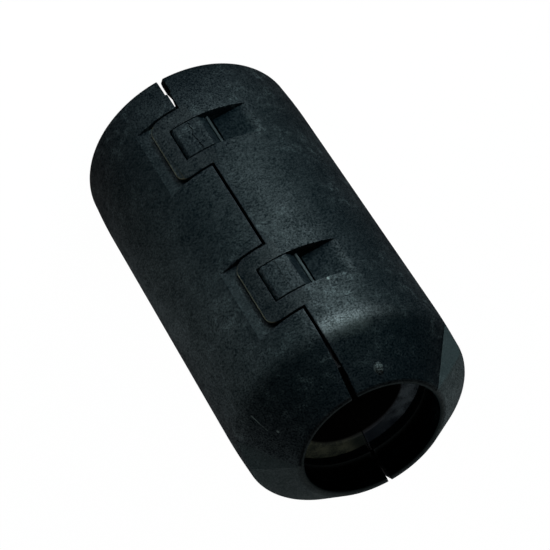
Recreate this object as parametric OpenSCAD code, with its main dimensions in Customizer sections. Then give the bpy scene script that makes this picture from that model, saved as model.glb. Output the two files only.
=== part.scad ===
// Clip-on ferrite bead: a hinged nylon case round two ferrite half cores.
// +Z runs along the bore, the bead stands on one end at z = 0, the parting plane is x = 0,
// the latches face -Y and the web that hinges the halves lies at +Y.
// The latch shell is on the -X side and the catch shell on the +X side.

/* [Body] */
// Outer diameter of the case
body_d = 20; // [18:0.5:26]
// Length of the case from rim to rim
body_length = 39.4; // [32:0.2:52]
// Wall of the case round the core
body_wall = 2.1; // [1.9:0.05:2.6]
// Diameter of each mouth
mouth_d = 12.1; // [10.5:0.1:14]
// Width of the flat rim round each mouth, on the latch side
rim_w = 0.5; // [0.3:0.05:0.8]
// Extra width of that rim on the web side
rim_extra = 0.06; // [0.02:0.02:0.2]
// Depth of the straight wall inside each mouth
lip_depth = 1.2; // [0.8:0.1:1.6]
// Wall of the case where it tapers
end_wall = 1.2; // [0.8:0.1:1.4]

/* [Tapered ends] */
// Length of the longer taper over the latch side of the upper end
front_taper = 4.7; // [4:0.1:6]
// Length of the taper round the rest of both ends
end_taper = 2.7; // [2.2:0.1:3.4]
// Distance from the rim at which the body starts to draw in
draft_start = 6; // [5:0.5:8]
// How far the body has drawn in where the tapers begin
draft = 0.2; // [0.05:0.05:0.4]
// Angle from the latches to the ridge at each side of the longer taper
ridge_angle = 75.5; // [66:0.5:82]
// Turn of the narrow facet beside each ridge, 0 for a radial step
ridge_turn = 62; // [30:1:70]

/* [Ferrite core] */
// Bore of the core
core_bore_d = 9.4; // [7:0.1:11]
// Distance from each rim to the face of the core
core_setback = 4.2; // [3.6:0.1:5.4]
// Reach of the wall that holds each end of the core over its face
retainer_reach = 1.4; // [0.6:0.1:1.5]
// Thickness of that wall
retainer_t = 0.8; // [0.6:0.1:1]
// Radial clearance round the core
core_clearance = 0.1; // [0.05:0.05:0.2]
// Clearance at each end of the core
core_end_clearance = 0.05; // [0.02:0.01:0.2]
// Gap between the two ground faces of the core
core_gap = 0.04; // [0.02:0.01:0.1]

/* [Parting] */
// Gap between the shells along the body
parting_gap = 0.24; // [0.16:0.02:0.4]
// Gap between the shells at the two ends
end_gap = 0.55; // [0.42:0.01:0.8]
// Length of that wider gap at each end
end_gap_length = 4.7; // [4:0.1:6]

/* [Latches] */
// Distance from the lower rim to the centre of the lower latch
latch_inset = 10.5; // [9:0.05:11.5]
// Distance from the upper rim to the centre of the upper latch
latch_inset_top = 11.2; // [9.5:0.05:11.5]
// Width of a tongue
tongue_w = 7.3; // [6.8:0.1:8]
// Reach of a tongue past the parting plane
tongue_reach = 3.1; // [2.9:0.05:3.3]
// Radius of a tongue's outer corners
tongue_corner = 1.1; // [0.6:0.1:1.4]
// Thickness of a tongue at its root
tongue_t = 0.85; // [0.75:0.01:0.9]
// Gap round a tongue in its recess
tongue_gap = 0.22; // [0.15:0.01:0.3]
// Gap under a tongue
tongue_under = 0.1; // [0.05:0.01:0.12]
// Room in the recess past a tongue's tip
recess_room = 1.5; // [1.2:0.1:2]
// Width of each leg of a tongue, beside its window
leg_w = 1.725; // [1.5:0.025:2]
// Width of the bar across a tongue's tip
tip_bar_w = 1.42; // [1.3:0.01:1.5]
// Gap between a catch and the window round it
catch_gap = 0.1; // [0.06:0.01:0.15]
// Reach of a catch past the parting plane, into the latch shell
catch_nose = 1.9; // [1.7:0.05:2]
// Length of the ramp that rounds off a catch's nose
catch_ramp = 0.9; // [0.6:0.05:1.1]
// Depth of the low end of that ramp under the body's round surface
catch_drop = 1.25; // [1.1:0.05:1.4]
// Clearance under a catch's nose, over the wall of the seat
catch_under = 0.1; // [0.1:0.05:0.3]
// How far a catch's top lies under the body's round surface
catch_sink = 0.05; // [0.02:0.01:0.12]
// Depth of the pocket behind a catch, at the parting plane
pocket_depth = 1.51; // [1.3:0.01:1.55]
// How far the round root on which a tongue flexes swells past its faces
root_swell = 0.035; // [0.02:0.005:0.05]
// Clearance round that root
root_clearance = 0.02; // [0.01:0.01:0.05]

/* [Web] */
// Distance from each rim to the end of the web
web_inset = 4; // [3.6:0.1:9]
// Radius of the web's rounded bend
web_r = 0.3; // [0.2:0.05:0.35]
// Distance of the web's bend line outside the body
web_offset = 0.1; // [0.1:0.05:0.3]
// Clearance between the bend and the catch shell
web_clearance = 0.1; // [0.05:0.05:0.2]

/* [Hidden] */

body_r = body_d / 2;
mouth_r = mouth_d / 2;
rim_r = mouth_r + rim_w;
seat_r = body_r - body_wall;
core_r = seat_r - core_clearance;
retainer_r = core_r - retainer_reach;
latch_z = [latch_inset, body_length - latch_inset_top];
window_w = tongue_w - 2 * leg_w;
window_reach = tongue_reach - tip_bar_w;

// The latch side's cone, and the point above the rim where its sides would meet
front_slope = (body_r - rim_r) / front_taper;
front_angle = atan(front_slope);
front_apex = rim_r / front_slope;

// Inside of the tapered ends, one wall in from the latch side's cone
cavity_top = core_setback - retainer_t;
cavity_r = rim_r + front_slope * cavity_top - end_wall / cos(front_angle);

// The line on which the tongues flex
root_r = tongue_t / 2 + root_swell;
root_x = -parting_gap / 2;
root_y = -body_r + tongue_t / 2;

// The line on which the case opens
web_y = body_r + web_offset;
web_length = body_length - 2 * web_inset;

past = 1;        // how far cutting tools reach past what they cut
far = 3 * body_r; // half the size of a block that stands for a half space
$fn = 96;

// Copies what stands at the top end to both ends
module both_ends() {
    translate([0, 0, body_length]) children();
    mirror([0, 0, 1]) children();
}

// Everything on one side of the parting plane: side is -1 for the latch half, 1 for the catch half
module half_space(side, gap) {
    translate([side > 0 ? gap / 2 : -gap / 2 - far, -far, -far]) cube([far, 2 * far, 2 * far + body_length]);
}

// What the upper end loses in front, above the latch side's cone
module front_cut() {
    difference() {
        rotate_extrude() polygon([
            [body_r, -front_taper], [body_r + past, -front_taper],
            [body_r + past, past], [rim_r - front_slope * past, past]
        ]);
        for (side = [-1, 1])
            translate([0, 0, front_apex]) rotate([0, 0, side * ridge_angle])
                rotate([-front_angle, 0, 0]) intersection() {
                    translate([side > 0 ? 0 : -far, -far, -far]) cube([far, 2 * far, 2 * far]);
                    rotate([0, 0, side * ridge_turn])
                        translate([side > 0 ? 0 : -far, -far, -far]) cube([far, 2 * far, 2 * far]);
                }
    }
}

// The case as if it had no parting plane, without its latches
module case_outside() {
    difference() {
        rotate_extrude() polygon([
            [0, 0], [rim_r + rim_extra, 0],
            [body_r - draft, end_taper], [body_r, draft_start],
            [body_r, body_length - draft_start], [body_r - draft, body_length - end_taper],
            [rim_r + rim_extra, body_length], [0, body_length]
        ]);
        translate([0, 0, body_length]) front_cut();
    }
}

// The hollow that holds the core, the end chambers and the two mouths
module case_inside() {
    translate([0, 0, core_setback])
        cylinder(r = seat_r, h = body_length - 2 * core_setback);
    translate([0, 0, core_setback - past])
        cylinder(r = retainer_r, h = body_length - 2 * core_setback + 2 * past);
    both_ends() {
        translate([0, 0, -lip_depth - past]) cylinder(r = mouth_r, h = lip_depth + 2 * past);
        rotate_extrude() polygon([
            [0, -lip_depth], [mouth_r, -lip_depth], [cavity_r, -cavity_top], [0, -cavity_top]
        ]);
    }
}

// One half of the case, with the wider gap on its tapered ends
module case_half(side) {
    difference() {
        intersection() {
            case_outside();
            half_space(side, parting_gap);
        }
        case_inside();
        both_ends() translate([-end_gap / 2, -far, -end_gap_length])
            cube([end_gap, 2 * far, end_gap_length + past]);
    }
}

// Slot for a catch through the latch shell, and the shallow pocket behind it
module catch_slot() {
    translate([-catch_nose - catch_gap, -body_r - past, -window_w / 2])
        cube([catch_nose + catch_gap + past, body_r + past, window_w]);
    translate([-body_r, -body_r - past, -window_w / 2])
        cube([body_r, past + pocket_depth, window_w]);
}

// Socket in the latch shell for the round root of a tongue
module root_socket() {
    translate([root_x, root_y, -tongue_w / 2 - root_clearance])
        cylinder(r = root_r + root_clearance, h = tongue_w + 2 * root_clearance);
}

// Flat-floored recess for a tongue in the catch shell
module tongue_recess() {
    recess_w = tongue_w + 2 * tongue_gap;
    translate([-past, -body_r - past, -recess_w / 2])
        cube([past + tongue_reach + recess_room, past + tongue_t + tongue_under, recess_w]);
}

// Catch: steep on the window's side, level on top and rounded down over its nose
module catch() {
    catch_w = window_w - 2 * catch_gap;
    top = body_r - catch_sink;
    steep = window_reach - catch_gap;
    under = seat_r + catch_under;
    inside = seat_r - past;
    intersection() {
        translate([0, 0, -catch_w / 2]) linear_extrude(catch_w) polygon([
            [steep, -inside], [steep, -top], [catch_ramp - catch_nose, -top],
            [catch_ramp / 2 - catch_nose, -top + catch_drop / 4],
            [-catch_nose, -body_r + catch_drop], [-catch_nose, -under],
            [0, -under], [0, -inside]
        ]);
        difference() {
            translate([0, 0, -catch_w]) cylinder(r = top, h = 2 * catch_w);
            translate([0, 0, -catch_w]) cylinder(r = seat_r, h = 2 * catch_w);
        }
    }
}

// Tongue: a rounded plate with a window, hanging on a round root
module tongue() {
    difference() {
        intersection() {
            translate([0, 0, -tongue_w / 2]) cylinder(r = body_r, h = tongue_w);
            union() {
                translate([root_x, -body_r - past, 0]) rotate([-90, 0, 0])
                    linear_extrude(past + tongue_t) tongue_outline();
                translate([root_x, root_y, -tongue_w / 2]) cylinder(r = root_r, h = tongue_w);
            }
        }
        translate([-body_r, -body_r - past, -window_w / 2])
            cube([body_r + window_reach, body_r + past, window_w]);
    }
}

// Outline of a tongue seen from the front, with its two free corners rounded
module tongue_outline() {
    reach = tongue_reach - root_x;
    half_w = tongue_w / 2;
    translate([0, -half_w]) square([reach - tongue_corner, tongue_w]);
    translate([0, -half_w + tongue_corner]) square([reach, tongue_w - 2 * tongue_corner]);
    for (side = [-1, 1])
        translate([reach - tongue_corner, side * (half_w - tongue_corner)]) circle(r = tongue_corner);
}

// Space kept clear round the web's bend
module web_relief() {
    translate([0, web_y, web_inset - web_clearance])
        cylinder(r = web_r + web_clearance, h = web_length + 2 * web_clearance);
}

module latch_shell() {
    color([0.13, 0.15, 0.15]) difference() {
        case_half(-1);
        web_relief();
        for (z = latch_z) translate([0, 0, z]) {
            catch_slot();
            root_socket();
        }
    }
}

module catch_shell() {
    color([0.16, 0.18, 0.18]) {
        difference() {
            case_half(1);
            web_relief();
            for (z = latch_z) translate([0, 0, z]) tongue_recess();
        }
        for (z = latch_z) translate([0, 0, z]) catch();
    }
}

// Round bend of the web, on a foot that fills the latch shell's side of the relief
module hinge_web() {
    color([0.1, 0.12, 0.12]) translate([0, 0, web_inset]) {
        translate([0, web_y, 0]) cylinder(r = web_r, h = web_length);
        intersection() {
            translate([0, web_y, 0]) cylinder(r = web_r + web_clearance, h = web_length);
            translate([-far, web_y - web_r, 0]) cube([far, web_r, web_length]);
        }
    }
}

module latch_tongue(number) {
    color([0.12, 0.14, 0.14]) translate([0, 0, latch_z[number - 1]]) tongue();
}

module core_half(side) {
    color([0.3, 0.3, 0.29]) intersection() {
        translate([0, 0, core_setback + core_end_clearance]) difference() {
            core_length = body_length - 2 * (core_setback + core_end_clearance);
            cylinder(r = core_r, h = core_length);
            translate([0, 0, -past]) cylinder(d = core_bore_d, h = core_length + 2 * past);
        }
        half_space(side, core_gap);
    }
}

latch_shell();
catch_shell();
hinge_web();
latch_tongue(1);  // latch_tongue_1
latch_tongue(2);  // latch_tongue_2
core_half(-1);  // core_latch_half
core_half(1);  // core_catch_half
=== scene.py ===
import bpy
import math
import random
from mathutils import Matrix, Vector


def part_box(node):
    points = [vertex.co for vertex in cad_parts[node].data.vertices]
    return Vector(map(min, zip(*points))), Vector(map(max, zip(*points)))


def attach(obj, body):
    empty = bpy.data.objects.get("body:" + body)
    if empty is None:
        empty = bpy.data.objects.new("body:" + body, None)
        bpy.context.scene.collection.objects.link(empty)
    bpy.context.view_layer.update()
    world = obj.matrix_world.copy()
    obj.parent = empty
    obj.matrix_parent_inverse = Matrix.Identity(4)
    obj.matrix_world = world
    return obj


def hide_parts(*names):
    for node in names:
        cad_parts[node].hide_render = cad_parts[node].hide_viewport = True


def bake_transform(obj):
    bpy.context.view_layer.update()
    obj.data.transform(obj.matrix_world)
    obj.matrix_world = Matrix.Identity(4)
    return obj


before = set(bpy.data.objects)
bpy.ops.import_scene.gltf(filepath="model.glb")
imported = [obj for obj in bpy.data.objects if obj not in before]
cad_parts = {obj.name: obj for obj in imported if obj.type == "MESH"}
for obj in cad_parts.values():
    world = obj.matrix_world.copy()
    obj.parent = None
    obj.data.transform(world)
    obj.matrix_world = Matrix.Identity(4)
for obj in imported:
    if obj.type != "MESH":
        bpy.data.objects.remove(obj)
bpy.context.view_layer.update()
bpy.ops.object.select_all(action="DESELECT")
scene = bpy.context.scene
random.seed(4)

# The case: two shells of black nylon, moulded open and flat in one shot with the web and the tongues.
# One whole sleeve is drawn first and the shells and tongues are cut out of it, so that their
# surfaces run on across the gaps, as they do on the closed bead.
mm = 0.001
body_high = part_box("catch_shell")[1]
body_r = body_high.x
length = body_high.z
FACETS = 240                    # flats round the sleeve
rim_r = 6.55 * mm               # the flat rim lies between this and the mouth
mouth_r = 6.05 * mm
lip_depth = 1.2 * mm
shoulder = 2.7 * mm             # depth of the short taper
draft_start = 6 * mm
draft = 0.2 * mm
cavity_top = 3.4 * mm
cavity_r = 7.56 * mm
retainer_r = 6.4 * mm           # the wall in front of each end of the core
core_setback = 4.2 * mm
seat_r = 7.9 * mm


def only(thing):
    """Leaves one object selected and active."""
    bpy.ops.object.select_all(action="DESELECT")
    thing.select_set(True)
    bpy.context.view_layer.objects.active = thing


def finish_with(thing, kind, **settings):
    """Adds a modifier with these settings and applies it."""
    only(thing)
    bpy.ops.object.modifier_add(type=kind)
    modifier = thing.modifiers[-1]
    for setting, value in settings.items():
        setattr(modifier, setting, value)
    bpy.ops.object.modifier_apply(modifier=modifier.name)


def drawn(name, points):
    """An outline drawn point by point and closed by a face."""
    points = [Vector(point) for point in points]
    bpy.ops.object.select_all(action="DESELECT")
    bpy.ops.mesh.primitive_plane_add(size=mm, location=points[0])
    outline = bpy.context.active_object
    outline.name = name
    bpy.ops.object.mode_set(mode="EDIT")
    bpy.ops.mesh.merge(type="CENTER")
    for start, end in zip(points, points[1:]):
        bpy.ops.mesh.extrude_region_move(TRANSFORM_OT_translate={"value": end - start})
    bpy.ops.mesh.select_all(action="SELECT")
    bpy.ops.mesh.edge_face_add()
    bpy.ops.object.mode_set(mode="OBJECT")
    bpy.ops.object.transform_apply(location=True, rotation=True, scale=True)
    return outline


def round_corners(outline, corners, radius, segments):
    """Rounds the corners of an outline that lie at the given points."""
    only(outline)
    bpy.ops.object.mode_set(mode="EDIT")
    bpy.ops.mesh.select_all(action="DESELECT")
    bpy.ops.object.mode_set(mode="OBJECT")
    for corner in outline.data.vertices:
        corner.select = any(math.dist(corner.co, place) < 0.01 * mm for place in corners)
    bpy.ops.object.mode_set(mode="EDIT")
    bpy.ops.mesh.bevel(offset=radius, segments=segments, affect="VERTICES")
    bpy.ops.object.mode_set(mode="OBJECT")


def turned(outline, steps=FACETS):
    """Turns an outline once round the bore's axis."""
    only(outline)
    bpy.ops.object.mode_set(mode="EDIT")
    bpy.ops.mesh.select_all(action="SELECT")
    bpy.ops.mesh.delete(type="ONLY_FACE")
    bpy.ops.mesh.select_all(action="SELECT")
    bpy.ops.mesh.spin(steps=steps, angle=2 * math.pi, center=(0, 0, 0), axis=(0, 0, 1))
    bpy.ops.mesh.select_all(action="SELECT")
    bpy.ops.mesh.remove_doubles(threshold=0.001 * mm)
    bpy.ops.mesh.select_all(action="SELECT")
    bpy.ops.mesh.normals_make_consistent(inside=False)
    bpy.ops.object.mode_set(mode="OBJECT")
    return outline


def end_profile(flip):
    """Corners of the wall's section from the shoulder round the rim to the seat, for one end."""
    at = (lambda depth: length - depth) if flip else (lambda depth: depth)
    return [
        (body_r, 0, at(draft_start)), (body_r - draft, 0, at(shoulder)), (rim_r, 0, at(0)),
        (mouth_r, 0, at(0)), (mouth_r, 0, at(lip_depth)), (cavity_r, 0, at(cavity_top)),
        (retainer_r, 0, at(cavity_top)), (retainer_r, 0, at(core_setback)), (seat_r, 0, at(core_setback)),
    ]


section = end_profile(False) + end_profile(True)[::-1]
sleeve = drawn("sleeve", section)
for radius, depth, round_off, segments in (
    (body_r, draft_start, 1.2 * mm, 4), (body_r - draft, shoulder, 0.45 * mm, 5),
    (rim_r, 0, 0.22 * mm, 4), (mouth_r, 0, 0.16 * mm, 5),
):
    ends = [(radius, 0, depth), (radius, 0, length - depth)]
    round_corners(sleeve, ends, round_off, segments)
turned(sleeve)

# The longer taper over the latch side of the upper end. It is a cut all round, less the two flat
# wedges beside its ridges, and its crest is moulded round.
front_taper = 4.7 * mm
ridge_angle = math.radians(75.5)
ridge_turn = math.radians(62)
crest_round = 0.55 * mm


def block(name, low, high):
    """A box between two corners."""
    low, high = Vector(low), Vector(high)
    bpy.ops.object.select_all(action="DESELECT")
    bpy.ops.mesh.primitive_cube_add(size=1, location=(low + high) / 2, scale=high - low)
    box = bpy.context.active_object
    box.name = name
    bpy.ops.object.transform_apply(location=True, rotation=True, scale=True)
    return box


def combine(thing, other, operation="DIFFERENCE", keep=False):
    """Cuts, joins or meets a piece with another solid, which is used up unless it is kept.

    The tiny edges and slivers that a cut leaves are merged, a little more boldly where they are open.
    """
    finish_with(thing, "BOOLEAN", operation=operation, object=other, solver="EXACT")
    bpy.ops.object.mode_set(mode="EDIT")
    bpy.ops.mesh.select_all(action="SELECT")
    bpy.ops.mesh.remove_doubles(threshold=0.004 * mm)
    bpy.ops.mesh.dissolve_degenerate(threshold=0.002 * mm)
    bpy.ops.mesh.select_all(action="DESELECT")
    bpy.ops.mesh.select_non_manifold()
    bpy.ops.mesh.remove_doubles(threshold=0.02 * mm)
    bpy.ops.mesh.select_all(action="SELECT")
    bpy.ops.mesh.normals_make_consistent(inside=False)
    bpy.ops.mesh.select_all(action="DESELECT")
    bpy.ops.object.mode_set(mode="OBJECT")
    if not keep:
        bpy.data.objects.remove(other)
    return thing


front_slope = (body_r - rim_r) / front_taper
front_angle = math.atan(front_slope)
past = 1 * mm
draft_slope = draft / (draft_start - shoulder)
crest = (body_r - draft_slope * draft_start - rim_r) / (front_slope - draft_slope)      # its depth
crest_point = (rim_r + front_slope * crest, 0, length - crest)
taper_cut = drawn("taper_cut", [
    (body_r, 0, length - draft_start), (body_r + past, 0, length - draft_start),
    (body_r + past, 0, length + past), (rim_r - front_slope * past, 0, length + past), crest_point,
])
round_corners(taper_cut, [crest_point], crest_round, 7)
taper_cut.data.transform(Matrix.Translation((0.002 * mm, 0, 0)))       # clear of the sleeve's own faces
turned(taper_cut)
reach = 30 * mm
apex = Vector((0, 0, length + rim_r / front_slope))
for side in (-1, 1):
    lean = (Matrix.Translation(apex) @ Matrix.Rotation(side * ridge_angle, 4, "Z")
            @ Matrix.Rotation(-front_angle, 4, "X"))
    wedge = block("wedge", (0, -reach, -reach), (reach * side, reach, reach))
    wedge.data.transform(lean)
    other = block("other", (0, -reach, -reach), (reach * side, reach, reach))
    other.data.transform(lean @ Matrix.Rotation(side * ridge_turn, 4, "Z"))
    for cutter in (wedge, other):
        only(cutter)
        bpy.ops.object.mode_set(mode="EDIT")
        bpy.ops.mesh.select_all(action="SELECT")
        bpy.ops.mesh.normals_make_consistent(inside=False)
        bpy.ops.object.mode_set(mode="OBJECT")
    combine(wedge, other, "INTERSECT")
    combine(taper_cut, wedge)
combine(sleeve, taper_cut)

# The gaps that show between the closed shells: one at the back of each end, and an uneven one in
# front of the upper end, where the parting faces don't quite meet.
parting_gap = 0.24 * mm
lower_gap = 0.55 * mm
upper_gap = 0.32 * mm
end_gap_length = 4.7 * mm


def extruded(outline, step):
    """Pulls an outline out into a solid."""
    only(outline)
    bpy.ops.object.mode_set(mode="EDIT")
    bpy.ops.mesh.select_all(action="SELECT")
    bpy.ops.mesh.extrude_region_move(TRANSFORM_OT_translate={"value": step})
    bpy.ops.mesh.select_all(action="SELECT")
    bpy.ops.mesh.normals_make_consistent(inside=False)
    bpy.ops.object.mode_set(mode="OBJECT")
    return outline


combine(sleeve, block("end_gap", (-lower_gap / 2, -reach, -past), (lower_gap / 2, reach, end_gap_length)))
combine(sleeve, block("end_gap", (-upper_gap / 2, 0, length - end_gap_length),
                      (upper_gap / 2, reach, length + past)))
front_gap = [                   # the gap's two edges: distance from the parting plane and depth, in millimetres
    (-0.12, 4.7), (-0.17, 3.9), (-0.22, 2.2), (-0.24, 1.3), (-0.16, 0.7), (-0.13, 0.2), (-0.13, -1),
    (0.36, -1), (0.36, 0), (0.25, 1.24), (0.13, 2.2), (0.12, 4.7),
]
gap_outline = drawn("front_gap", [(x * mm, -reach, length - depth * mm) for x, depth in front_gap])
combine(sleeve, extruded(gap_outline, (0, reach, 0)))

# The relief along the back: a round groove, moulded half in each shell, that leaves room for the
# bend of the web when the case is closed.
web_low, web_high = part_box("hinge_web")
web_y = body_r + 0.1 * mm
bend_r = 0.3 * mm
relief_r = bend_r + 0.06 * mm
relief_past = 0.1 * mm
relief = drawn("relief", [
    (relief_r * math.cos(turn), web_y + relief_r * math.sin(turn), web_low.z - relief_past)
    for turn in (math.radians(18 * k) for k in range(20))])
extruded(relief, (0, 0, web_high.z - web_low.z + 2 * relief_past))
combine(sleeve, relief)

# The latches: two loops, moulded with the latch shell, that snap over two catches on the other shell.
# Each loop lies in a recess, its window shows the catch, and a pocket runs out behind the window.
tongue_w = 7.3 * mm             # across the bead's length
tongue_reach = 3.1 * mm         # past the parting plane
tongue_corner = 1.1 * mm
tongue_t = 0.85 * mm
tongue_gap = 0.22 * mm          # beside a tongue in its recess
tongue_under = 0.1 * mm         # below it
recess_room = 1.5 * mm          # in front of its tip
window_w = 3.85 * mm
window_reach = 1.68 * mm
catch_gap = 0.1 * mm            # round a catch in its window
catch_nose = 1.9 * mm           # from the parting plane to the end of the ramp
catch_ramp = 0.9 * mm           # the ramp's length
catch_shift = 0.05 * mm         # the catches sit a little low in their windows
catch_under = 0.1 * mm
catch_sink = 0.05 * mm          # a catch's top lies this far below the case's surface
nose_gap = 0.2 * mm
pocket_depth = 1.51 * mm
band = 0.5 * mm                 # a strip beside each latch, whose ring of edges keeps the shading to itself
latch_z = [(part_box(node)[0].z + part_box(node)[1].z) / 2 for node in ("latch_tongue_1", "latch_tongue_2")]
seam = -0.75 * mm               # where a tongue's own piece begins, inside the latch shell


def copied(thing, name):
    """A copy of a piece with a mesh of its own."""
    copy = thing.copy()
    copy.data = thing.data.copy()
    copy.name = name
    scene.collection.objects.link(copy)
    return copy


def tongue_plate(z):
    """A tongue's outline as a thick plate that reaches back past the seam."""
    half = tongue_w / 2
    plate = drawn("plate", [
        (seam - past, -body_r - past, z - half), (tongue_reach, -body_r - past, z - half),
        (tongue_reach, -body_r - past, z + half), (seam - past, -body_r - past, z + half),
    ])
    tips = [(tongue_reach, -body_r - past, z - half), (tongue_reach, -body_r - past, z + half)]
    round_corners(plate, tips, tongue_corner, 8)
    return extruded(plate, (0, past + tongue_t, 0))


catch_case = combine(copied(sleeve, "catch_case"),
                     block("half", (parting_gap / 2, -reach, -reach), (reach, reach, 2 * reach)), "INTERSECT")
latch_room = block("latch_room", (-reach, -reach, -reach), (-parting_gap / 2, reach, 2 * reach))
for z in latch_z:
    combine(latch_room, tongue_plate(z), "UNION")
latch_case = combine(copied(sleeve, "latch_case"), latch_room, "INTERSECT")
for z in latch_z:
    half = tongue_w / 2 + tongue_gap
    combine(catch_case, block("recess", (-past, -body_r - past, z - half),
                              (tongue_reach + recess_room, -body_r + tongue_t + tongue_under, z + half)))
    catch_half = window_w / 2 - catch_gap
    top = body_r - catch_sink
    low_side, high_side = z - catch_half - catch_shift, z + catch_half - catch_shift
    steep = window_reach - catch_gap
    deep = -(seat_r - past)
    nose = drawn("nose", [(x, y, low_side) for x, y in (    # the hook, the top, the ramp and the lip at its foot
        (steep, deep), (steep, -top + 0.4 * mm), (steep - 0.3 * mm, -top + 0.08 * mm),
        (steep - 0.3 * mm, -top - past), (catch_ramp - catch_nose, -top - past), (catch_ramp - catch_nose, -top),
        (0.3 * mm - catch_nose, -top + 0.75 * mm), (0.24 * mm - catch_nose, -top + 0.6 * mm),
        (0.06 * mm - catch_nose, -top + 0.58 * mm), (-catch_nose, -top + 0.7 * mm),
        (-catch_nose, -seat_r - catch_under), (0, -seat_r - catch_under), (0, deep),
    )])
    extruded(nose, (0, 0, high_side - low_side))
    ring = turned(drawn("ring", [
        (seat_r, 0, z - tongue_w / 2), (top, 0, z - tongue_w / 2), (top, 0, z + tongue_w / 2),
        (seat_r, 0, z + tongue_w / 2),
    ]))
    combine(nose, ring, "INTERSECT")
    combine(catch_case, nose, "UNION")
    half = window_w / 2
    combine(latch_case, block("slot", (-catch_nose - nose_gap, -body_r - past, z - half),
                              (window_reach, 0, z + half)))
    combine(latch_case, block("pocket", (-body_r, -body_r - past, z - half),
                              (0, -body_r + pocket_depth, z + half)))
for case in (catch_case, latch_case):
    for z in latch_z:
        for band_z in (z - tongue_w / 2 - band, z + tongue_w / 2 + band):
            only(case)
            bpy.ops.object.mode_set(mode="EDIT")
            bpy.ops.mesh.select_all(action="SELECT")
            bpy.ops.mesh.bisect(plane_co=(0, 0, band_z), plane_no=(0, 0, 1))
            bpy.ops.object.mode_set(mode="OBJECT")


def round_sharp(thing, inside, width, segments, sharpness):
    """Rounds the sharp edges whose middle passes a test."""
    only(thing)
    bpy.ops.object.mode_set(mode="EDIT")
    bpy.ops.mesh.select_mode(type="EDGE")
    bpy.ops.mesh.select_all(action="DESELECT")
    bpy.ops.mesh.edges_select_sharp(sharpness=sharpness)
    bpy.ops.object.mode_set(mode="OBJECT")
    points = thing.data.vertices
    for edge in thing.data.edges:
        if edge.select:
            a, b = (points[i].co for i in edge.vertices)
            edge.select = inside((a + b) / 2)
    for thing_part in (thing.data.vertices, thing.data.polygons):
        for part in thing_part:
            part.select = False
    bpy.ops.object.mode_set(mode="EDIT")
    bpy.ops.mesh.select_mode(type="EDGE")
    bpy.ops.mesh.bevel(offset=width, segments=segments, profile=0.5, clamp_overlap=False)
    bpy.ops.mesh.select_mode(type="VERT")
    bpy.ops.object.mode_set(mode="OBJECT")


def shows(p):
    """True on the outside and round the mouths, where an edge can be seen."""
    radius = math.hypot(p.x, p.y)
    depth = length - p.z
    turn = math.degrees(math.atan2(abs(p.x), -p.y))
    if 73 < turn < 95 and depth < front_taper + 0.3 * mm:       # beside the ridges, which stay sharp
        return abs(turn - math.degrees(ridge_angle)) > 0.8 and 0.8 * mm < depth < 4 * mm
    beside_web = p.y > 9.6 * mm and web_low.z - 0.3 * mm < p.z < web_high.z + 0.3 * mm
    run_out = abs(p.x) > 3.5 * mm and any(abs(p.z - z) < tongue_w / 2 for z in latch_z)
    return (radius > 8.3 * mm or min(p.z, depth) < 3.2 * mm) and not beside_web and not (run_out and p.y < 0)


for case in (catch_case, latch_case):
    round_sharp(case, shows, width=0.06 * mm, segments=2, sharpness=math.radians(24))

# The gate mark: the torn stub of nylon, with a hollow in it, on the taper of the latch shell, where
# the nylon ran into the mould and the sprue was broken off.
def roughened(thing, strength, size):
    """Crumples a surface with a cloud of this size."""
    clouds = bpy.data.textures.new(thing.name, "CLOUDS")
    clouds.noise_scale = size
    finish_with(thing, "DISPLACE", texture=clouds, strength=strength, mid_level=0.5, texture_coords="GLOBAL")


gate_depth = 1.02 * mm
gate_turn = math.radians(-21.9)
gate_r = rim_r + front_slope * gate_depth
gate_place = (gate_r * math.sin(gate_turn), -gate_r * math.cos(gate_turn), length - gate_depth)
gate_seat = (Matrix.Translation(gate_place)
             @ Matrix.Rotation(gate_turn, 4, "Z") @ Matrix.Rotation(math.pi / 2 - front_angle, 4, "X"))
for name, size, lift, operation, segments in (
    ("gate_stub", (0.33, 0.52, 0.2), 0.0, "UNION", 4), ("gate_hollow", (0.15, 0.3, 0.1), 0.17, "DIFFERENCE", 3),
):
    bpy.ops.object.select_all(action="DESELECT")
    bpy.ops.mesh.primitive_ico_sphere_add(subdivisions=segments, radius=1)
    lump = bpy.context.active_object
    lump.name = name
    lump.data.transform(gate_seat @ Matrix.Translation((0, 0, lift * mm)) @ Matrix.Diagonal((*size, 1))
                        @ Matrix.Scale(mm, 4))
    roughened(lump, strength=0.16 * mm, size=0.14 * mm)
    combine(latch_case, lump, operation)

# The snap loops: each becomes a piece of its own, cut from the latch shell behind the line on which
# it bends.
loops = []
loop_bottom = -body_r + tongue_t + 0.02 * mm
for number, z in enumerate(latch_z, 1):
    spread = tongue_w / 2 + band
    room = combine(
        block("room", (seam, -body_r - past, z - tongue_w / 2), (0, loop_bottom, z + tongue_w / 2)),
        block("front", (-parting_gap / 2, -body_r - past, z - spread),
              (2 * tongue_reach, loop_bottom, z + spread)),
        "UNION")
    loops.append(combine(copied(latch_case, f"snap_loop_{number}"), room, "INTERSECT", keep=True))
    combine(latch_case, room)

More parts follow.
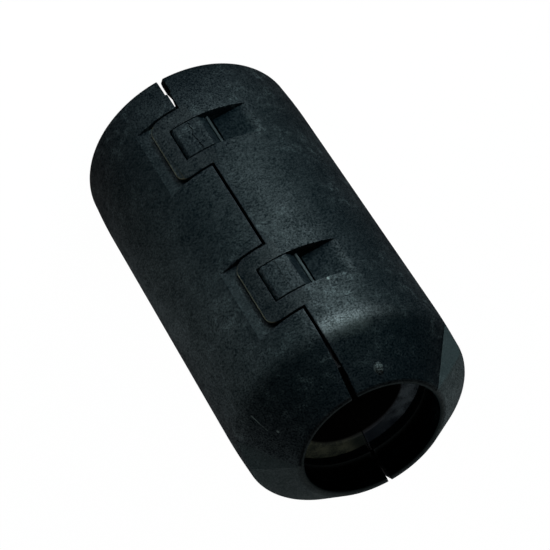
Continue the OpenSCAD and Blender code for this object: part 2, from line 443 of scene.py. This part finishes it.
# The flash on the catches: an uneven crack across the lower one and a thin raised line across the
# upper one, where two blocks of the mould met.
flash_steps = 14
flash_depth = 0.22 * mm
for z, wobble, width, operation in zip(latch_z, (0.13, 0.03), (0.07 * mm, 0.05 * mm), ("DIFFERENCE", "UNION")):
    half = window_w / 2 - catch_gap - 0.12 * mm
    line = [(random.uniform(-wobble, wobble) * mm, z - half + 2 * half * k / flash_steps)
            for k in range(flash_steps + 1)]
    outline = [(x - width / 2, -body_r, at) for x, at in line]
    outline += [(x + width / 2 + random.uniform(0, 0.03) * mm, -body_r, at) for x, at in reversed(line)]
    combine(catch_case, extruded(drawn("flash", outline), (0, flash_depth, 0)), operation)


# The finish of all nylon pieces: spark-eroded grain from the mould, cloudy dull patches, dust and some
# scuffs, with painted highlights and painted shade added below. The nylon itself is black, and nearly all that
# shows is its dull sheen.
def effect(name, inputs, outputs):
    """An empty node group with these sockets."""
    group = bpy.data.node_groups.new(name, "ShaderNodeTree")
    for socket, kind, value in inputs:
        made = group.interface.new_socket(socket, in_out="INPUT", socket_type=kind)
        if value is not None:
            made.default_value = value
    for socket, kind in outputs:
        group.interface.new_socket(socket, in_out="OUTPUT", socket_type=kind)
    return group, group.nodes.new("NodeGroupInput").outputs, group.nodes.new("NodeGroupOutput").inputs


def put(tree, kind, links=None, **settings):
    """Adds a node, sets it up and wires its inputs, given by name or number."""
    node = tree.nodes.new("ShaderNode" + kind)
    for setting, value in settings.items():
        setattr(node, setting, value)
    for socket, value in (links or {}).items():
        if isinstance(value, bpy.types.NodeSocket):
            tree.links.new(value, node.inputs[socket])
        else:
            node.inputs[socket].default_value = value
    return node


def maths(tree, operation, *values):
    """One step of sums on plain values."""
    return put(tree, "Math", dict(enumerate(values)), operation=operation).outputs[0]


def times(tree, first, *others):
    """The product of two or more values."""
    for other in others:
        first = maths(tree, "MULTIPLY", first, other)
    return first


def ramp(tree, value, low, high):
    """A soft step from 0 at low to 1 at high."""
    return put(tree, "MapRange", {0: value, 1: low, 2: high}, interpolation_type="SMOOTHSTEP").outputs[0]


def mixed(tree, share, first, second):
    """The first colour, and the second where the share is 1."""
    return put(tree, "Mix", {0: share, 6: first, 7: second}, data_type="RGBA").outputs[2]


def parts(tree, vector):
    """The X, Y and Z of a vector."""
    return put(tree, "SeparateXYZ", {0: vector}).outputs


def from_bore(tree, place):
    """A place's distance from the bore's axis."""
    flat = put(tree, "VectorMath", {0: place, 1: (1, 1, 0)}, operation="MULTIPLY").outputs[0]
    return put(tree, "VectorMath", {0: flat}, operation="LENGTH").outputs["Value"]


def noise(tree, place, scale, detail, **settings):
    """Cloudy noise; Scale is in clouds per metre."""
    inputs = {"Vector": place, "Scale": scale, "Detail": detail}
    return put(tree, "TexNoise", inputs | settings).outputs[0]


FLOAT, COLOR, VECTOR = "NodeSocketFloat", "NodeSocketColor", "NodeSocketVector"
grain, given, result = effect("spark_grain", [
    ("Grain", FLOAT, 7500.0), ("Dust", FLOAT, 0.5)], [("Tone", FLOAT), ("Dust", FLOAT), ("Height", FLOAT)])
place = put(grain, "TexCoord").outputs["Object"]
fine = noise(grain, place, given["Grain"], 3.0, Roughness=0.6)
cloud = noise(grain, place, 1100.0, 4.0, Roughness=0.62)
wide = noise(grain, place, 190.0, 2.0, Roughness=0.5)
tone = maths(grain, "ADD", times(grain, fine, 0.72), times(grain, cloud, 0.16))
tone = maths(grain, "ADD", tone, times(grain, wide, 0.12))
grain.links.new(ramp(grain, tone, 0.36, 0.64), result["Tone"])
specks = times(grain, ramp(grain, cloud, 0.5, 0.68), ramp(grain, wide, 0.42, 0.62), ramp(grain, fine, 0.42, 0.66))
grain.links.new(times(grain, specks, given["Dust"]), result["Dust"])
grain.links.new(fine, result["Height"])

mark, given, result = effect("scuff_and_highlight", [
    ("From", VECTOR, None), ("To", VECTOR, None), ("Width", FLOAT, 0.0001), ("Soft", FLOAT, 0.0001),
], [("Mask", FLOAT)])
place = put(mark, "TexCoord").outputs["Object"]
ahead = put(mark, "VectorMath", {0: place, 1: given["From"]}, operation="SUBTRACT").outputs[0]
along = put(mark, "VectorMath", {0: given["To"], 1: given["From"]}, operation="SUBTRACT").outputs[0]
reached = put(mark, "VectorMath", {0: ahead, 1: along}, operation="DOT_PRODUCT").outputs["Value"]
whole = put(mark, "VectorMath", {0: along, 1: along}, operation="DOT_PRODUCT").outputs["Value"]
share = put(mark, "Clamp", {0: maths(mark, "DIVIDE", reached, whole)}).outputs[0]
on_line = put(mark, "VectorMath", {0: along, "Scale": share}, operation="SCALE").outputs[0]
distance = put(mark, "VectorMath", {0: ahead, 1: on_line}, operation="DISTANCE").outputs["Value"]
tear = times(mark, maths(mark, "SUBTRACT", noise(mark, place, 5000.0, 2.0), 0.5), given["Soft"])
outside = maths(mark, "ADD", maths(mark, "SUBTRACT", distance, given["Width"]), tear)
mark.links.new(maths(mark, "SUBTRACT", 1.0, maths(mark, "DIVIDE", outside, given["Soft"])), result["Mask"])

# Painted light and shade on the moulding: the faces beside the ridges and the rim's inner edge are
# painted pale as if lit, and the long taper and the inside of the mouth get less sheen as painted shade.
TAPER_PAINTED_SHADE = 0.42
faces, given, result = effect("painted_light_faces", [], [("Mask", FLOAT), ("Shade", FLOAT)])
coordinates = put(faces, "TexCoord").outputs
facing = parts(faces, coordinates["Normal"])["Z"]
place = parts(faces, coordinates["Object"])
turn = maths(faces, "ARCTAN2", maths(faces, "ABSOLUTE", place["X"]), times(faces, place["Y"], -1.0))
radius = from_bore(faces, coordinates["Object"])
lit_sides = times(faces, ramp(faces, turn, ridge_angle - 0.01, ridge_angle), ramp(faces, facing, 0.25, 0.72))
lit_rim = times(faces, ramp(faces, facing, 0.7, 0.9), ramp(faces, place["Z"], length - 0.3 * mm, length - 0.1 * mm),
            ramp(faces, radius, 6.42 * mm, 6.26 * mm))
faces.links.new(maths(faces, "MAXIMUM", lit_sides, lit_rim), result["Mask"])
front = times(faces, ramp(faces, turn, ridge_angle, ridge_angle - 0.01), ramp(faces, facing, 0.3, 0.55),
              ramp(faces, place["Z"], length - crest, length - crest + 0.8 * mm), TAPER_PAINTED_SHADE)
inside = ramp(faces, radius, 6.3 * mm, 6.1 * mm)
faces.links.new(maths(faces, "MAXIMUM", front, inside), result["Shade"])

# Painted shade: the floors sunk below the case's surface, away from the upper end, get less sheen as if shaded.
hollow, given, result = effect("painted_recess_shade", [], [("Mask", FLOAT)])
place = put(hollow, "TexCoord").outputs["Object"]
below = ramp(hollow, parts(hollow, place)["Z"], length - 5 * mm, length - 5.2 * mm)
sunken = ramp(hollow, from_bore(hollow, place), 9.9 * mm, 9.55 * mm)
hollow.links.new(times(hollow, sunken, below), result["Mask"])

# Painted highlight: a tan line on the outer edges of the loops' tips, standing in for the light they catch.
tips, given, result = effect("painted_tip_highlight", [], [("Mask", FLOAT)])
coordinates = put(tips, "TexCoord").outputs
sideways = ramp(tips, parts(tips, coordinates["Normal"])["X"], 0.36, 0.5)
outmost = ramp(tips, from_bore(tips, coordinates["Object"]), 9.88 * mm, 9.94 * mm)
tips.links.new(times(tips, sideways, outmost), result["Mask"])

# Painted highlight: more sheen along the latch shell's crest near the split, standing in for the light it catches.
painted_crest, given, result = effect("painted_crest_highlight", [], [("Mask", FLOAT)])
place = parts(painted_crest, put(painted_crest, "TexCoord").outputs["Object"])
from_crest = maths(painted_crest, "ABSOLUTE", maths(painted_crest, "SUBTRACT", place["Z"], length - crest - 0.1 * mm))
crest_highlight_mask = times(painted_crest, ramp(painted_crest, from_crest, 1.5 * mm, 0.1 * mm), ramp(painted_crest, place["X"], -8 * mm, -1 * mm),
               ramp(painted_crest, place["Y"], -5 * mm, -8 * mm))
painted_crest.links.new(crest_highlight_mask, result["Mask"])

NYLON_GLOSS = 0.062
PAINTED_LIGHT = 0.62
DUST_AND_PAINTED_LIGHT_COLOR = (0.013, 0.016, 0.016, 1)
TIP_HIGHLIGHT_COLOR = (0.013, 0.011, 0.007, 1)
SCUFF_AND_HIGHLIGHT_COLOR = (0.05, 0.055, 0.052, 1)


def nylon(name, light, roughness, dust, bump, scuffs_and_highlights=(), recess_shade=0.0, crest_highlight=0.0, edges=False):
    """Black nylon with its grain.

    Each scuff and painted highlight line is two ends, a width and a soft edge in millimetres, and a strength.
    Painted shade takes a share of sheen off the sunken floors, a painted highlight adds sheen on the crest,
    and the tips of the loops get a painted highlight on their edges.
    """
    material = bpy.data.materials.new(name)
    material.use_nodes = True
    tree = material.node_tree
    shader = tree.nodes["Principled BSDF"]
    shader.inputs["Specular IOR Level"].default_value = 0
    shader.inputs["Coat Roughness"].default_value = roughness
    surface = put(tree, "Group", {"Dust": dust}, node_tree=grain).outputs
    painted_light_faces = put(tree, "Group", node_tree=faces).outputs

    gloss = put(tree, "MapRange", {0: surface["Tone"], 3: NYLON_GLOSS * 0.1, 4: NYLON_GLOSS * 1.95}).outputs[0]
    # painted shade: a share of the sheen is taken off the sunken floors
    sheen = maths(tree, "SUBTRACT", 1.0, times(tree, put(tree, "Group", node_tree=hollow).outputs["Mask"], recess_shade))
    # painted highlight: more sheen along the crest
    sheen = maths(tree, "MULTIPLY_ADD", put(tree, "Group", node_tree=painted_crest).outputs["Mask"], crest_highlight, sheen)
    # painted shade: less sheen on the long taper and none inside the mouth
    sheen = times(tree, sheen, maths(tree, "SUBTRACT", 1.0, painted_light_faces["Shade"]))
    tree.links.new(times(tree, gloss, sheen), shader.inputs["Coat Weight"])

    color = mixed(tree, surface["Tone"], BLACK, light)
    color = mixed(tree, surface["Dust"], color, DUST_AND_PAINTED_LIGHT_COLOR)
    # painted light: the faces beside the ridges and the rim's inner edge are mixed towards the pale colour as if
    # lit
    color = mixed(tree, times(tree, painted_light_faces["Mask"], PAINTED_LIGHT), color, DUST_AND_PAINTED_LIGHT_COLOR)
    # painted highlight on the edges of the loops' tips
    if edges:
        color = mixed(tree, put(tree, "Group", node_tree=tips).outputs["Mask"], color, TIP_HIGHLIGHT_COLOR)
    for start, end, width, soft, strength in scuffs_and_highlights:
        scuff_and_highlight = put(tree, "Group", {
            "From": [part * mm for part in start], "To": [part * mm for part in end],
            "Width": width * mm, "Soft": soft * mm}, node_tree=mark).outputs["Mask"]
        color = mixed(tree, times(tree, put(tree, "Clamp", {0: scuff_and_highlight}).outputs[0], strength), color, SCUFF_AND_HIGHLIGHT_COLOR)
    tree.links.new(color, shader.inputs["Base Color"])

    rough = maths(tree, "ADD", times(tree, surface["Tone"], 0.14), roughness)
    tree.links.new(rough, shader.inputs["Roughness"])
    grainy = put(tree, "Bump", {"Strength": bump, "Distance": 0.02 * mm, "Height": surface["Height"]})
    tree.links.new(grainy.outputs[0], shader.inputs["Normal"])
    return material


def dressed(piece, finish, node):
    """Smooths a finished piece's shading, gives it its finish and hides the CAD node it stands in for."""
    only(piece)
    bpy.ops.object.shade_smooth_by_angle(angle=math.radians(30))
    finish_with(piece, "WEIGHTED_NORMAL", keep_sharp=True, weight=60)
    piece.data.materials.clear()
    piece.data.materials.append(finish)
    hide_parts(node)


BLACK = (0.00003, 0.0003, 0.0005, 1)
SHELL_LIGHT = (0.0003, 0.0009, 0.0012, 1)
LOOP_LIGHT = (0.0003, 0.0007, 0.0009, 1)
catch_finish = nylon("black_nylon_catch", SHELL_LIGHT, roughness=0.55, dust=0.4, bump=0.5, recess_shade=0.12, scuffs_and_highlights=[
    ((7.7, -5.4, 35.5), (7.4, -4.8, 36.4), 0.03, 0.05, 0.35),           # a scratch beside the mouth
    ((7.4, -4.8, 36.4), (7.2, -4.5, 36.8), 0.03, 0.05, 0.25),
    ((6.5, -4.6, 37.4), (6.5, -4.6, 37.5), 0.06, 0.06, 0.5),            # a speck at its end
    ((-1.76, -9.36, 26.5), (-1.74, -9.36, 29.8), 0.04, 0.12, 0.09),     # a painted highlight along the lips of the catches
    ((-1.76, -9.36, 8.8), (-1.74, -9.36, 12.1), 0.04, 0.12, 0.07)])
dressed(catch_case, catch_finish, "catch_shell")
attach(catch_case, "catch_side")

crest_highlight_gain = 1.9                # how much more sheen the painted highlight on the crest gives
latch_finish = nylon("black_nylon_latch", SHELL_LIGHT, roughness=0.55, dust=0.45, bump=0.5, recess_shade=0.55, scuffs_and_highlights=[
    ((-2.9, -9.6, 30.3), (-2.9, -9.6, 30.4), 0.06, 0.08, 0.4),          # a speck beside a pocket
    ((-2.7, -6.9, 38.4), (-2.7, -6.9, 38.5), 0.3, 0.15, 0.13),          # the torn gate mark
    ((-0.6, -9.6, 35.0), (-3.4, -9.1, 35.2), 0.1, 0.9, 0.08),           # a painted highlight along the crest
], crest_highlight=crest_highlight_gain)
dressed(latch_case, latch_finish, "latch_shell")
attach(latch_case, "latch_side")

loop_finish = nylon("black_nylon_loop", LOOP_LIGHT, roughness=0.5, dust=0.2, bump=0.25, edges=True)
for number, (loop, z) in enumerate(zip(loops, latch_z), 1):
    dressed(loop, loop_finish, f"latch_tongue_{number}")
    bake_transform(loop)

# The web: a film of the same nylon that joins the shells along the back and folds outwards when
# they close. Its two flanges melt into the shells, and only its bend moves.
flange = 1.5 * mm
outer = [(-flange, 9.82 * mm), (-flange, 9.9 * mm), (-1.3 * mm, 9.96 * mm), (-0.7 * mm, 10.03 * mm),
         (-0.42 * mm, 10.06 * mm)]
outer += [(-bend_r * math.cos(turn), web_y + bend_r * math.sin(turn))
          for turn in (math.radians(12 * k) for k in range(1, 8))]
inner = [(-0.06 * mm, web_y - 0.02 * mm), (-0.18 * mm, web_y - 0.07 * mm), (-0.3 * mm, web_y - 0.16 * mm),
         (-0.6 * mm, 9.75 * mm)]
across = outer + [(0, web_y + bend_r)] + [(-x, y) for x, y in outer[::-1]]
across += [(-x, y) for x, y in inner[::-1]] + inner
web = extruded(drawn("hinge_film", [(x, y, web_low.z) for x, y in across]), (0, 0, web_high.z - web_low.z))
round_sharp(web, lambda p: p.y > 9.87 * mm, width=0.05 * mm, segments=2, sharpness=math.radians(40))
web_finish = nylon("black_nylon_web", LOOP_LIGHT, roughness=0.5, dust=0.2, bump=0.2)
dressed(web, web_finish, "hinge_web")
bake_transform(web)

# The core: two ground half rings of sintered ferrite, with chamfered ends, loose in their seats.
# One is a little bluish and the other a little yellowish.
core_low, core_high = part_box("core_latch_half")
core_r = -core_low.x
bore_r = 4.7 * mm
chamfer = 0.22 * mm
core = turned(drawn("core", [
    (bore_r, 0, core_low.z + chamfer), (bore_r + chamfer, 0, core_low.z), (core_r - chamfer, 0, core_low.z),
    (core_r, 0, core_low.z + chamfer), (core_r, 0, core_high.z - chamfer), (core_r - chamfer, 0, core_high.z),
    (bore_r + chamfer, 0, core_high.z), (bore_r, 0, core_high.z - chamfer),
]), steps=180)
ground = core_high.x            # how far the ground faces lie from the parting plane
bluish_half = combine(copied(core, "ferrite_latch_half"), block(
    "side", (-reach, -reach, -reach), (ground, reach, 2 * reach)), "INTERSECT")
yellowish_half = combine(copied(core, "ferrite_catch_half"), block(
    "side", (-ground, -reach, -reach), (reach, reach, 2 * reach)), "INTERSECT")
for half_core in (bluish_half, yellowish_half):
    round_sharp(half_core, lambda p: True, width=0.05 * mm, segments=2, sharpness=math.radians(30))
bpy.data.objects.remove(core)
bpy.data.objects.remove(sleeve)

sinter, given, result = effect("sintered", [
    ("Dark", COLOR, None), ("Light", COLOR, None), ("Fade", FLOAT, 0.003)], [("Color", COLOR), ("Height", FLOAT)])
place = put(sinter, "TexCoord").outputs["Object"]
pores = noise(sinter, place, 7000.0, 3.0, Roughness=0.65)
stain = noise(sinter, place, 900.0, 3.0)
tone = maths(sinter, "ADD", times(sinter, pores, 0.45), times(sinter, stain, 0.55))
# Painted shade: the ferrite is darkened towards the parting plane, out to the given reach.
from_parting = maths(sinter, "ABSOLUTE", parts(sinter, place)["X"])
tone = times(sinter, ramp(sinter, tone, 0.38, 0.62), ramp(sinter, from_parting, 0.3 * mm, given["Fade"]))
# Painted shade: the bore is painted almost black, as it lies in deep shade.
off_bore = ramp(sinter, from_bore(sinter, place), bore_r + 0.01 * mm, bore_r + 0.15 * mm)
BORE_PAINTED_SHADE = (0.001, 0.001, 0.001, 1)
color = mixed(sinter, off_bore, BORE_PAINTED_SHADE, mixed(sinter, tone, given["Dark"], given["Light"]))
sinter.links.new(color, result["Color"])
sinter.links.new(pores, result["Height"])


def ferrite(name, dark, light, shade_reach):
    """Sintered ferrite between two tones, with painted shade darkening it up to a distance from the parting plane.
    """
    material = bpy.data.materials.new(name)
    material.use_nodes = True
    tree = material.node_tree
    shader = tree.nodes["Principled BSDF"]
    shader.inputs["Roughness"].default_value = 0.5
    shader.inputs["Specular IOR Level"].default_value = 0.05
    body = put(tree, "Group", {"Dark": dark, "Light": light, "Fade": shade_reach}, node_tree=sinter).outputs
    tree.links.new(body["Color"], shader.inputs["Base Color"])
    pitted = put(tree, "Bump", {"Strength": 0.4, "Distance": 0.02 * mm, "Height": body["Height"]})
    tree.links.new(pitted.outputs[0], shader.inputs["Normal"])
    return material


bluish = ferrite("ferrite_bluish", dark=(0.0035, 0.005, 0.007, 1), light=(0.04, 0.05, 0.056, 1), shade_reach=5.5 * mm)
yellowish = ferrite(
    "ferrite_yellowish", dark=(0.005, 0.007, 0.006, 1), light=(0.033, 0.036, 0.025, 1), shade_reach=2 * mm)
dressed(bluish_half, bluish, "core_latch_half")
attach(bluish_half, "latch_side")
dressed(yellowish_half, yellowish, "core_catch_half")
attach(yellowish_half, "catch_side")

# The set: a plain white table in white surroundings, soft panels round the bead and one lamp above.
# The table and the surroundings look white to the camera and in reflections, and light the bead little.
FLOOR_WHITE = 0.99
bpy.ops.object.select_all(action="DESELECT")
bpy.ops.mesh.primitive_plane_add(size=4, location=(0, 0, -0.02 * mm))
floor = bpy.context.active_object
floor.name = "pale_floor"
bpy.ops.object.transform_apply(location=True)
paper = bpy.data.materials.new("white_paper")
paper.use_nodes = True
tree = paper.node_tree
shader = tree.nodes["Principled BSDF"]
shader.inputs["Base Color"].default_value = (0.8, 0.8, 0.8, 1)
shader.inputs["Roughness"].default_value = 1
shader.inputs["Specular IOR Level"].default_value = 0


def seen(tree):
    """1 for rays from the camera, off gloss or through clear things, and 0 for light on the bead."""
    path = put(tree, "LightPath").outputs
    return maths(tree, "MAXIMUM", maths(tree, "MAXIMUM", path["Is Camera Ray"], path["Is Glossy Ray"]),
                 path["Is Transmission Ray"])


glow = put(tree, "Emission", {"Color": (1, 1, 1, 1), "Strength": 1.0}).outputs[0]
white = put(tree, "MixShader", {0: times(tree, seen(tree), FLOOR_WHITE), 1: shader.outputs[0], 2: glow}).outputs[0]
tree.links.new(white, tree.nodes["Material Output"].inputs["Surface"])
floor.data.materials.append(paper)

ROOM = 0.02                     # how much light the surroundings give the bead
world = bpy.data.worlds.new("white_room")
world.use_nodes = True
scene.world = world
tree = world.node_tree
backdrop = tree.nodes["Background"]
backdrop.inputs["Color"].default_value = (1, 1, 1, 1)
tree.links.new(maths(tree, "ADD", times(tree, seen(tree), 1 - ROOM), ROOM), backdrop.inputs["Strength"])


def soft_lamp(name, width, span, power, color, place, turned_by):
    """A panel that gives soft light, hidden from the camera."""
    lamp_data = bpy.data.lights.new(name, "AREA")
    lamp_data.shape = "RECTANGLE"
    lamp_data.size, lamp_data.size_y = width * mm, span * mm
    lamp_data.energy = power
    lamp_data.color = color
    lamp = bpy.data.objects.new(name, lamp_data)
    scene.collection.objects.link(lamp)
    lamp.location = Vector(place) * mm
    lamp.rotation_euler = turned_by
    lamp.visible_camera = False


# Each panel stands upright or lies on the table: its turn round the bead, its distance and the
# height of its middle, its width and length, all in degrees and millimetres, and its power
COOL = (0.76, 1, 1.05)
for name, azimuth, away, level, width, span, power in (
    ("front_panel", -30, 90, 20, 25, 40, 0.31), ("split_panel", -10, 90, 20, 25, 40, 0.1),
    ("catch_back_panel", 120, 250, 80, 120, 160, 0.5), ("latch_back_panel", 210, 250, 80, 120, 160, 0.4),
    ("far_floor_panel", -28, 55, 0, 14, 30, 0.13), ("side_floor_panel", 60, 55, 0, 14, 30, 0.05),
    ("near_floor_panel", -34, 24, 0, 20, 20, 0.006), ("catch_floor_panel", 10, 24, 0, 12, 20, 0.005),
    ("left_floor_panel", 105, 45, 0, 25, 40, 0.013),
):
    turn = math.radians(azimuth)
    soft_lamp(name, width, span, power, COOL, (away * math.sin(turn), -away * math.cos(turn), max(level, 0.3)),
              (math.pi / 2 if level else math.pi, 0, turn))
soft_lamp("top_lamp", 100, 100, 0.36, (1, 1, 1), (0, -60, 330), (math.radians(12), 0, 0))

camera_data = bpy.data.cameras.new("camera")
camera = bpy.data.objects.new("camera", camera_data)
scene.collection.objects.link(camera)
camera_data.sensor_width = 36
camera_data.lens = 156.2
camera_data.clip_start = 0.01
camera_place = Vector((0.015223, -0.158375, 0.145678))
aim = Vector((-0.0004, 0.0001, 0.0198))
roll = math.radians(147.63)
look = (aim - camera_place).to_track_quat("-Z", "Y").to_matrix().to_4x4()
camera.matrix_world = Matrix.Translation(camera_place) @ look @ Matrix.Rotation(roll, 4, "Z")
scene.camera = camera
scene.view_settings.view_transform = "Standard"
